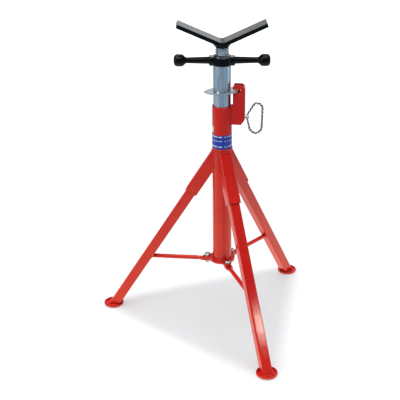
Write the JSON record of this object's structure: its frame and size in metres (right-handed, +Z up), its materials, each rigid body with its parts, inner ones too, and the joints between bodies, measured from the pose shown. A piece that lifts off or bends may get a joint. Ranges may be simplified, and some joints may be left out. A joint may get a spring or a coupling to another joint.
{
  "type": "pipe jack stand",
  "caption": "Rigid tripod pipe stand with a sliding inner tube held by a pin and a lock plate, a jack screw with an armed nut, and a swivelling vee head.",
  "frame": {"origin": "on the floor below the axis of the tubes", "axes": "+Z up along the tubes, -X towards the left leg, +X towards the locking pin"},
  "size_m": [0.5025, 0.572, 0.7908],
  "materials": {
    "red_paint": "gloss red paint",
    "zinc": "bright zinc plate",
    "spring_steel": "drawn wire",
    "wire_rope": "laid steel wire",
    "black_paint": "gloss black paint"
  },
  "bodies": {
    "frame": {"outer_tube": "red_paint", "base_plate": "red_paint", "leg_socket_left": "red_paint", "leg_socket_front": "red_paint", "leg_socket_right": "red_paint", "leg_left": "red_paint", "leg_front": "red_paint", "leg_right": "red_paint", "foot_left": "red_paint", "foot_front": "red_paint", "foot_right": "red_paint", "brace_left": "red_paint", "brace_front": "red_paint", "brace_right": "red_paint", "pin_channel": "red_paint", "brace_bolts": "zinc", "brace_washers": "zinc", "brace_nuts": "zinc", "pin_spring": "spring_steel"},
    "inner_tube": {"inner_tube": "zinc", "thrust_washer": "zinc"},
    "handle_nut": {"handle_nut": "black_paint"},
    "lift_screw": {"lift_screw": "zinc", "screw_stop_ring": "zinc"},
    "vee_head": {"vee_plate": "black_paint", "vee_stem": "black_paint"},
    "lock_plate": {"lock_plate": "zinc"},
    "locking_pin": {"locking_pin": "zinc"},
    "pull_ring": {"pull_ring": "wire_rope"}
  },
  "joints": [
    {"name": "tube_lift", "type": "slide", "parent": "frame", "child": "inner_tube", "axis": [0, 0, 1], "range_m": [0, 0.3]},
    {"name": "handle_turn", "type": "hinge", "parent": "inner_tube", "child": "handle_nut", "pos_m": [0, 0, 0.6965], "axis": [0, 0, -1], "range_deg": [0, 5760]},
    {"name": "screw_lift", "type": "slide", "parent": "inner_tube", "child": "lift_screw", "axis": [0, 0, 1], "range_m": [0, 0.0961]},
    {"name": "vee_swivel", "type": "hinge", "parent": "lift_screw", "child": "vee_head", "pos_m": [0, 0, 0.7303], "axis": [0, 0, 1], "continuous": true},
    {"name": "lock_plate_release", "type": "hinge", "parent": "frame", "child": "lock_plate", "pos_m": [0.0291, 0, 0.6233], "axis": [0, 1, 0], "range_deg": [0, 5]},
    {"name": "pin_pull", "type": "slide", "parent": "frame", "child": "locking_pin", "axis": [1, 0, 0], "range_m": [-0.0032, 0.002], "deforming": ["pin_spring"]},
    {"name": "ring_swing", "type": "hinge", "parent": "locking_pin", "child": "pull_ring", "pos_m": [0.0621, 0, 0.56], "axis": [0, 0, 1], "range_deg": [-80, 80]}
  ],
  "couplings": [
    {"joint": "screw_lift", "follows": "handle_turn", "m_per_rad": 0.00095493}
  ]
}
